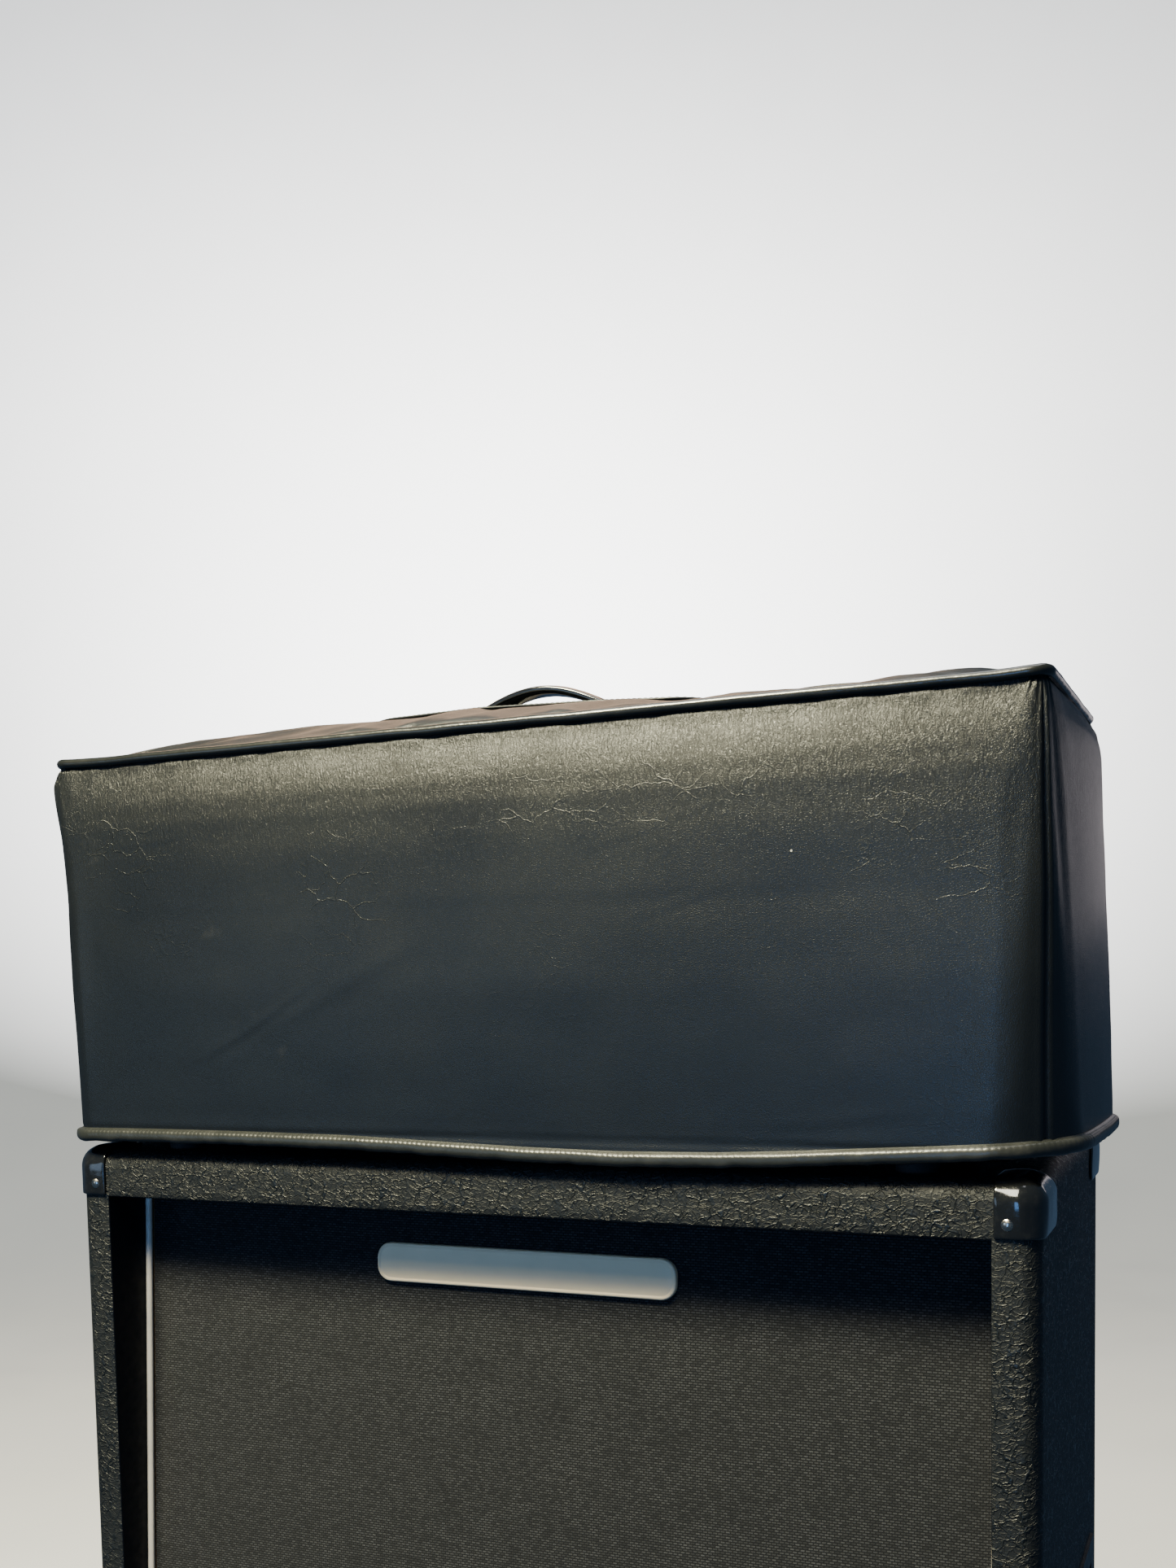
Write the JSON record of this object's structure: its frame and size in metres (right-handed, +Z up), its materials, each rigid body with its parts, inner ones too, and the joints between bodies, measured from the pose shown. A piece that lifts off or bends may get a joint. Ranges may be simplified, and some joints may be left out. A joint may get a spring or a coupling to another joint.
{
  "type": "guitar amplifier",
  "caption": "Covered valve amplifier head with a strap handle, standing on a four-speaker cabinet with a bent baffle, cloth grille and corner guards.",
  "frame": {"origin": "on the floor under the middle of the amplifier", "axes": "+Z up, +Y towards the back, +X to the right seen from the front"},
  "size_m": [0.779, 0.3679, 1.125],
  "materials": {
    "textured_covering": "plywood under coarse textured black vinyl",
    "dust_cover": "soft black leatherette, satin, fine creased grain",
    "cover_trim": "bound leatherette edge with thread",
    "plywood": "birch plywood",
    "grille_cloth": "black cloth with short pale dashes",
    "white_piping": "white vinyl piping",
    "badge": "plain white plate, no marking",
    "black_steel": "black powder coat",
    "black_plastic": "moulded black",
    "nickel": "nickel plate",
    "rubber": "black rubber",
    "paper_cone": "dark grey paper",
    "chassis_steel": "plain plated steel",
    "panel_metal": "brushed, anodised gold",
    "board_resin": "glass-filled resin with parts",
    "transformer_iron": "black lacquered laminations",
    "can_aluminium": "plain can",
    "socket_ceramic": "white ceramic",
    "valve_glass": "clear glass",
    "jewel": "red lens"
  },
  "bodies": {
    "cabinet": {"cab_top_board": "textured_covering", "cab_bottom_board": "textured_covering", "cab_side_boards": "textured_covering", "frame_battens": "textured_covering", "baffle_boards": "plywood", "centre_brace": "plywood", "grille_cloth": "grille_cloth", "grille_piping": "white_piping", "blank_badge": "badge", "back_panel": "textured_covering", "jack_plate": "black_steel", "cab_jacks": "nickel", "cab_corners": "black_plastic", "cab_screws": "nickel", "cab_feet": "rubber", "side_handles": "black_plastic", "speaker_frames": "black_steel"},
    "head": {"head_top_board": "textured_covering", "head_bottom_board": "textured_covering", "head_side_boards": "textured_covering", "head_front_board": "textured_covering", "head_front_piping": "white_piping", "head_rear_grille": "black_steel", "head_corners": "black_plastic", "head_feet": "rubber", "handle_strap": "rubber", "handle_end_caps": "black_plastic", "chassis_tray": "chassis_steel", "control_panel": "panel_metal", "circuit_board": "board_resin", "mains_transformer": "transformer_iron", "output_transformer": "transformer_iron", "filter_capacitors": "can_aluminium", "valve_sockets": "socket_ceramic", "power_valves": "valve_glass", "preamp_valves": "valve_glass", "potentiometers": "nickel", "jack_sockets": "nickel", "pilot_lamp": "jewel", "mains_inlet": "black_plastic", "switch_housings": "black_plastic"},
    "cover": {"cover_front_panel": "dust_cover", "cover_back_panel": "dust_cover", "cover_side_panels": "dust_cover", "cover_top_panel": "dust_cover", "cover_welt": "cover_trim", "cover_hem": "cover_trim"},
    "speaker_cone_1_body": {"speaker_cone_1": "paper_cone"},
    "speaker_cone_2_body": {"speaker_cone_2": "paper_cone"},
    "speaker_cone_3_body": {"speaker_cone_3": "paper_cone"},
    "speaker_cone_4_body": {"speaker_cone_4": "paper_cone"},
    "knob_presence_body": {"knob_presence": "black_plastic"},
    "knob_bass_body": {"knob_bass": "black_plastic"},
    "knob_middle_body": {"knob_middle": "black_plastic"},
    "knob_treble_body": {"knob_treble": "black_plastic"},
    "knob_master_body": {"knob_master": "black_plastic"},
    "knob_preamp_body": {"knob_preamp": "black_plastic"},
    "power_switch_body": {"power_switch": "black_plastic"},
    "standby_switch_body": {"standby_switch": "black_plastic"},
    "impedance_selector_body": {"impedance_selector": "black_plastic"}
  },
  "joints": [
    {"name": "head_lift", "type": "slide", "parent": "cabinet", "child": "head", "axis": [0, 0, 1], "range_m": [0, 0.12]},
    {"name": "cover_lift", "type": "slide", "parent": "head", "child": "cover", "axis": [0, 0, 1], "range_m": [0, 0.36]},
    {"name": "cone_1_travel", "type": "slide", "parent": "cabinet", "child": "speaker_cone_1_body", "axis": [0, -0.9988, 0.0489], "range_m": [-0.004, 0.004], "stiffness_N_per_m": 1500},
    {"name": "cone_2_travel", "type": "slide", "parent": "cabinet", "child": "speaker_cone_2_body", "axis": [0, -0.9988, 0.0489], "range_m": [-0.004, 0.004], "stiffness_N_per_m": 1500},
    {"name": "cone_3_travel", "type": "slide", "parent": "cabinet", "child": "speaker_cone_3_body", "axis": [0, -1, 0], "range_m": [-0.004, 0.004], "stiffness_N_per_m": 1500},
    {"name": "cone_4_travel", "type": "slide", "parent": "cabinet", "child": "speaker_cone_4_body", "axis": [0, -1, 0], "range_m": [-0.004, 0.004], "stiffness_N_per_m": 1500},
    {"name": "knob_presence_turn", "type": "hinge", "parent": "head", "child": "knob_presence_body", "pos_m": [-0.225, -0.16, 0.837], "axis": [0, 1, 0], "range_deg": [-150, 150]},
    {"name": "knob_bass_turn", "type": "hinge", "parent": "head", "child": "knob_bass_body", "pos_m": [-0.163, -0.16, 0.837], "axis": [0, 1, 0], "range_deg": [-150, 150]},
    {"name": "knob_middle_turn", "type": "hinge", "parent": "head", "child": "knob_middle_body", "pos_m": [-0.101, -0.16, 0.837], "axis": [0, 1, 0], "range_deg": [-150, 150]},
    {"name": "knob_treble_turn", "type": "hinge", "parent": "head", "child": "knob_treble_body", "pos_m": [-0.039, -0.16, 0.837], "axis": [0, 1, 0], "range_deg": [-150, 150]},
    {"name": "knob_master_turn", "type": "hinge", "parent": "head", "child": "knob_master_body", "pos_m": [0.023, -0.16, 0.837], "axis": [0, 1, 0], "range_deg": [-150, 150]},
    {"name": "knob_preamp_turn", "type": "hinge", "parent": "head", "child": "knob_preamp_body", "pos_m": [0.085, -0.16, 0.837], "axis": [0, 1, 0], "range_deg": [-150, 150]},
    {"name": "power_switch_rock", "type": "hinge", "parent": "head", "child": "power_switch_body", "pos_m": [0.29, -0.14, 0.837], "axis": [1, 0, 0], "range_deg": [0, 16]},
    {"name": "standby_switch_rock", "type": "hinge", "parent": "head", "child": "standby_switch_body", "pos_m": [0.23, -0.14, 0.837], "axis": [1, 0, 0], "range_deg": [0, 16]},
    {"name": "impedance_turn", "type": "hinge", "parent": "head", "child": "impedance_selector_body", "pos_m": [0.04, 0.025, 0.837], "axis": [0, 1, 0], "range_deg": [-60, 60]}
  ]
}
